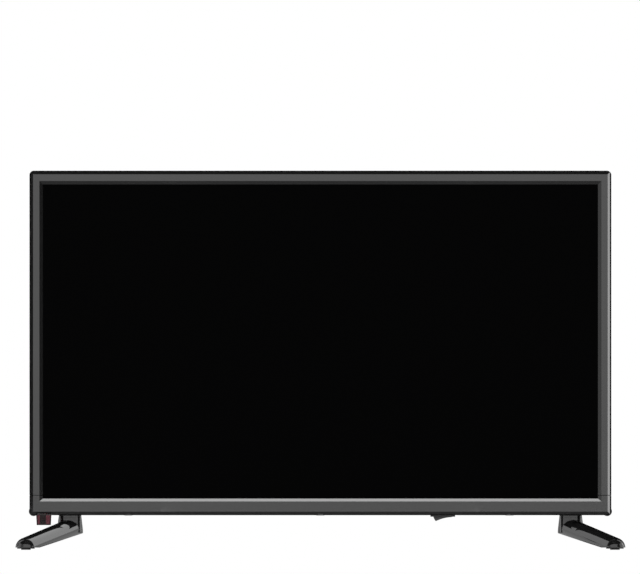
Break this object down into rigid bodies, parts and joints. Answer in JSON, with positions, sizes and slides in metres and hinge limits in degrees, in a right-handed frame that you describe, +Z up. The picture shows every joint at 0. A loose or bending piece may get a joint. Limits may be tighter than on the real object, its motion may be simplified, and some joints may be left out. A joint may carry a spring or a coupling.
{
  "type": "flat screen television",
  "caption": "Flat screen television with a slim bezel, moulded vented rear housing, splayed two-legged feet and a mains rocker switch under the rail.",
  "frame": {"origin": "on the floor, in the middle of the space that the feet take up", "axes": "+X to the viewer's right, +Y from the screen to the rear, +Z up"},
  "size_m": [0.7654, 0.1614, 0.4756],
  "materials": {
    "bezel_plastic": "satin moulded dark grey",
    "cover_plastic": "fine spark-eroded texture",
    "screen_glass": "black, switched off",
    "frame_plastic": "black",
    "optical_film": "translucent film",
    "diffuser_plastic": "opal",
    "reflector_white": "white",
    "strip_board": "white lacquered",
    "lens_clear": "clear",
    "pan_steel": "galvanised",
    "circuit_green": "solder resist",
    "circuit_amber": "paper laminate",
    "ribbon_white": "polyester",
    "chip_black": "moulded epoxy",
    "sink_aluminium": "extruded",
    "can_steel": "tinned",
    "socket_steel": "nickel plated",
    "socket_black": "moulded",
    "aerial_nickel": "nickel plated",
    "core_ferrite": "ferrite and tape",
    "capacitor_sleeve": "shrink sleeve",
    "switch_black": "moulded",
    "rocker_black": "moulded",
    "terminal_brass": "stamped",
    "ir_red": "dark red, translucent",
    "speaker_plastic": "moulded",
    "cone_paper": "black paper",
    "magnet_iron": "plated",
    "foot_gloss": "glossy dark grey",
    "pad_rubber": "moulded",
    "bracket_steel": "zinc plated",
    "screw_steel": "black zinc",
    "board_fixings": "plated"
  },
  "bodies": {
    "set": {"bezel_upper_frame": "bezel_plastic", "bezel_bottom_rail": "bezel_plastic", "rear_cover": "cover_plastic", "lcd_cell": "screen_glass", "mid_frame": "frame_plastic", "optical_sheets": "optical_film", "diffuser_plate": "diffuser_plastic", "reflector_sheet": "reflector_white", "light_strips": "strip_board", "light_lenses": "lens_clear", "back_pan": "pan_steel", "source_board": "circuit_green", "main_board": "circuit_green", "ir_board": "circuit_green", "power_board": "circuit_amber", "panel_ribbon": "ribbon_white", "main_chips": "chip_black", "ir_sensor": "chip_black", "heatsink": "sink_aluminium", "power_heatsink": "sink_aluminium", "tuner_can": "can_steel", "hdmi_sockets": "socket_steel", "usb_socket": "socket_steel", "audio_jack": "socket_black", "mains_inlet": "socket_black", "aerial_connector": "aerial_nickel", "transformer": "core_ferrite", "power_capacitors": "capacitor_sleeve", "switch_body": "switch_black", "switch_terminals": "terminal_brass", "ir_lens": "ir_red", "speaker_boxes": "speaker_plastic", "speaker_cones": "cone_paper", "speaker_magnets": "magnet_iron", "foot_left": "foot_gloss", "foot_right": "foot_gloss", "foot_pads": "pad_rubber", "rear_bumpers": "pad_rubber", "foot_brackets": "bracket_steel", "wall_mount_posts": "bracket_steel", "foot_screws": "screw_steel", "cover_screws": "screw_steel", "rail_screws": "screw_steel", "board_standoffs": "board_fixings", "board_screws": "board_fixings"},
    "rocker": {"switch_rocker": "rocker_black"}
  },
  "joints": [
    {"name": "mains_rocker", "type": "hinge", "parent": "set", "child": "rocker", "pos_m": [0.1535, 0.0098, 0.0445], "axis": [0, 1, 0], "range_deg": [0, 28]}
  ]
}
